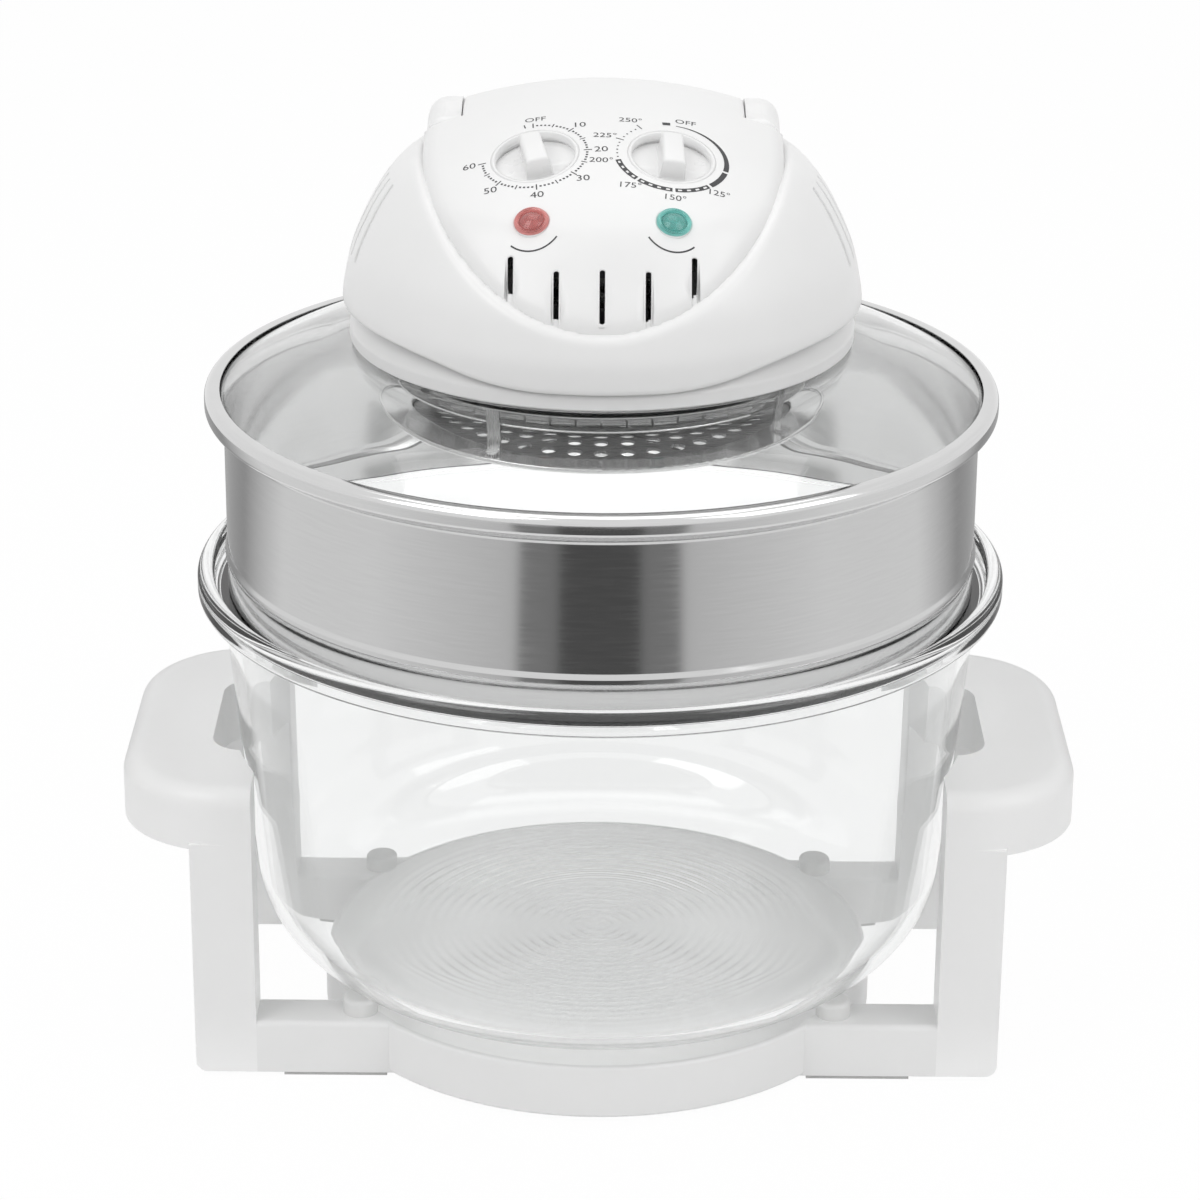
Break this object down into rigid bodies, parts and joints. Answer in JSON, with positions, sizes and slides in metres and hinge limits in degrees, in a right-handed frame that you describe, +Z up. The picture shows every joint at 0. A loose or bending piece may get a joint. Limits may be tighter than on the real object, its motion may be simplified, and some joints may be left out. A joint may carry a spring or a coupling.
{
  "type": "air fryer oven",
  "caption": "Worktop convection oven: clear glass bowl on a stand with side handles, steel extender ring, glass lid with domed heating head, two dials and a fold-back carry handle.",
  "frame": {"origin": "centre of the worktop plane under the bowl, at the bottom of the foot pads", "axes": "+Z up along the bowl's axis, -Y towards the front of the dials, X from side handle to side handle"},
  "size_m": [0.397, 0.336, 0.4008],
  "materials": {
    "stand_plastic": "satin moulded plastic",
    "head_plastic": "satin moulded plastic",
    "knob_plastic": "satin moulded plastic",
    "foot_rubber": "matt",
    "gasket_rubber": "matt silicone",
    "bowl_glass": "clear polished",
    "lid_glass": "clear polished",
    "tube_glass": "clear quartz",
    "polished_steel": "polished",
    "sheet_steel": "brushed",
    "zinc_steel": "plated",
    "pan_aluminium": "bright",
    "fan_aluminium": "pressed",
    "red_lens": "clear tinted",
    "green_lens": "clear tinted",
    "ceramic": "unglazed ceramic",
    "insulation": "mineral wool",
    "control_plastic": "matt",
    "core_steel": "stacked sheet",
    "copper": "enamelled wire",
    "bush_bronze": "sintered",
    "wire_cover": "matt"
  },
  "bodies": {
    "stand": {"stand_base": "stand_plastic", "left_side_handle": "stand_plastic", "right_side_handle": "stand_plastic", "stand_feet": "foot_rubber", "bowl_support_studs": "foot_rubber", "stand_screws": "zinc_steel"},
    "bowl": {"glass_bowl": "bowl_glass"},
    "ring": {"extender_ring": "polished_steel"},
    "lid": {"lid_glass": "lid_glass", "lid_rim": "polished_steel", "upper_hub_gasket": "gasket_rubber", "lower_hub_gasket": "gasket_rubber", "lower_housing": "head_plastic", "top_cover": "head_plastic", "control_panel": "head_plastic", "cover_screws": "zinc_steel", "power_lamp_lens": "red_lens", "heat_lamp_lens": "green_lens", "lamp_holders": "control_plastic", "timer_body": "control_plastic", "thermostat_body": "ceramic", "control_screws": "zinc_steel", "motor_stator": "core_steel", "motor_coil": "copper", "lower_motor_bracket": "zinc_steel", "upper_motor_bracket": "zinc_steel", "lower_shaft_bush": "bush_bronze", "upper_shaft_bush": "bush_bronze", "motor_bolts": "zinc_steel", "bracket_screws": "zinc_steel", "microswitch": "control_plastic", "thermal_cutout": "ceramic", "terminal_block": "control_plastic", "wiring_harness": "wire_cover", "cord_gland": "head_plastic", "handle_pivot_pins": "zinc_steel", "reflector_pan": "pan_aluminium", "insulation_disc": "insulation", "pan_screws": "zinc_steel", "halogen_tube": "tube_glass", "tube_end_caps": "ceramic", "tube_clips": "sheet_steel", "mesh_screen": "sheet_steel", "heater_guard": "sheet_steel", "guard_ring": "sheet_steel", "guard_brackets": "sheet_steel"},
    "rotor": {"motor_shaft": "zinc_steel", "rotor_core": "core_steel", "cooling_fan": "fan_aluminium", "convection_fan": "fan_aluminium", "fan_nut": "zinc_steel"},
    "carry_handle": {"carry_handle": "head_plastic"},
    "timer_dial": {"timer_knob": "knob_plastic", "timer_spindle": "zinc_steel"},
    "thermostat_dial": {"thermostat_knob": "knob_plastic", "thermostat_spindle": "zinc_steel"},
    "plunger": {"switch_plunger": "control_plastic"}
  },
  "joints": [
    {"name": "bowl_lift", "type": "slide", "parent": "stand", "child": "bowl", "axis": [0, 0, 1], "range_m": [0, 0.2]},
    {"name": "ring_lift", "type": "slide", "parent": "bowl", "child": "ring", "axis": [0, 0, 1], "range_m": [0, 0.12]},
    {"name": "lid_lift", "type": "slide", "parent": "ring", "child": "lid", "axis": [0, 0, 1], "range_m": [0, 0.25]},
    {"name": "handle_fold", "type": "hinge", "parent": "lid", "child": "carry_handle", "pos_m": [0, 0.0092, 0.3854], "axis": [1, 0, 0], "range_deg": [0, 90]},
    {"name": "timer_turn", "type": "hinge", "parent": "lid", "child": "timer_dial", "pos_m": [-0.02423, -0.03229, 0.36821], "axis": [-0.1384, -0.3356, 0.9318], "range_deg": [-270, 0]},
    {"name": "thermostat_turn", "type": "hinge", "parent": "lid", "child": "thermostat_dial", "pos_m": [0.02423, -0.03229, 0.36821], "axis": [0.1384, -0.3356, 0.9318], "range_deg": [-292, 0]},
    {"name": "rotor_spin", "type": "hinge", "parent": "lid", "child": "rotor", "pos_m": [0, 0, 0.33], "axis": [0, 0, 1], "continuous": true},
    {"name": "plunger_slide", "type": "slide", "parent": "lid", "child": "plunger", "axis": [0, 0, 1], "range_m": [0, 0.003]}
  ],
  "couplings": [
    {"joint": "plunger_slide", "follows": "handle_fold", "m_per_rad": 0.0019}
  ]
}
